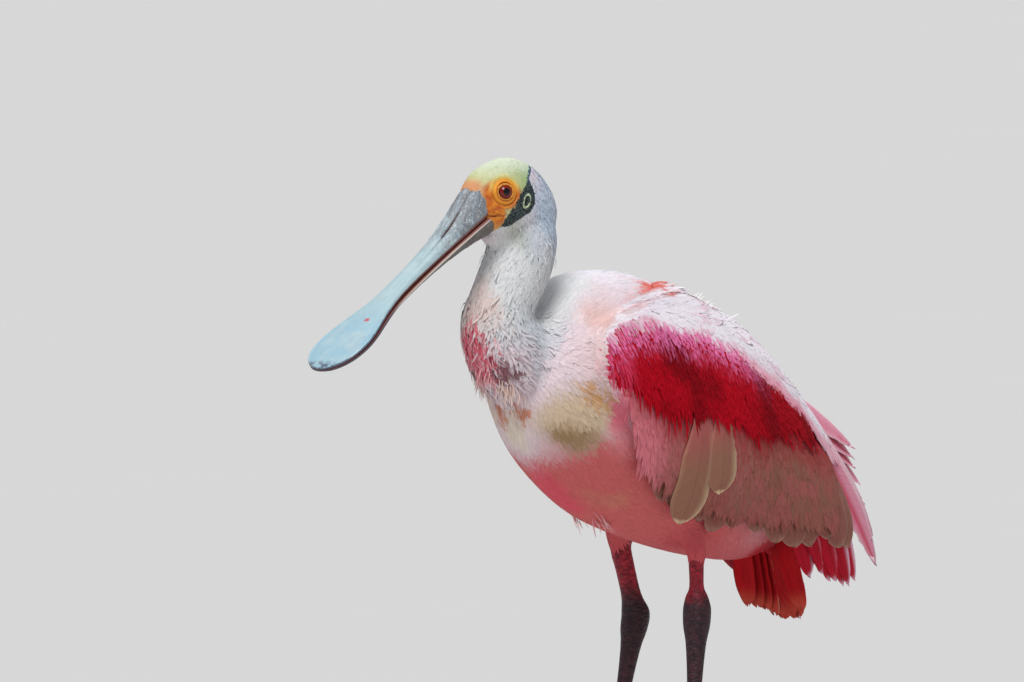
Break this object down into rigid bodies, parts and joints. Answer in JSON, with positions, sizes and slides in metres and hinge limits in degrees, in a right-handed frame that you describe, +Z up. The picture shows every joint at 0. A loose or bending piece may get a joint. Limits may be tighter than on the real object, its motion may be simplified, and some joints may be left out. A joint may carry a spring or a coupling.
{
  "type": "roseate spoonbill",
  "caption": "Life-size roseate spoonbill standing at rest, its neck drawn back, its long spoon-tipped bill lowered and its wings folded.",
  "frame": {"origin": "on the floor, under the middle of the bird's length and width", "axes": "-Y the way the bird faces, +X its left side, +Z up"},
  "size_m": [0.1648, 0.4845, 0.433],
  "materials": {
    "claw": "satin",
    "eye": "gloss",
    "bill": "satin",
    "bare_skin": "matt",
    "white_plumage": "matt",
    "pink_plumage": "matt",
    "wing_feathers": "matt",
    "tail_feathers": "matt",
    "red_leg": "satin",
    "dark_leg": "satin"
  },
  "bodies": {
    "root": {"torso": "pink_plumage", "head": "bare_skin", "bill_upper": "bill", "bill_lower": "bill", "neck_upper": "white_plumage", "neck_lower": "white_plumage", "tail": "tail_feathers", "eye_left": "eye", "wing_left": "wing_feathers", "thigh_left": "pink_plumage", "shank_left": "red_leg", "tarsus_left": "dark_leg", "foot_left": "dark_leg", "claw_middle_left": "claw", "claw_inner_left": "claw", "claw_outer_left": "claw", "claw_hind_left": "claw", "eye_right": "eye", "wing_right": "wing_feathers", "thigh_right": "pink_plumage", "shank_right": "red_leg", "tarsus_right": "dark_leg", "foot_right": "dark_leg", "claw_middle_right": "claw", "claw_inner_right": "claw", "claw_outer_right": "claw", "claw_hind_right": "claw"}
  },
  "joints": []
}
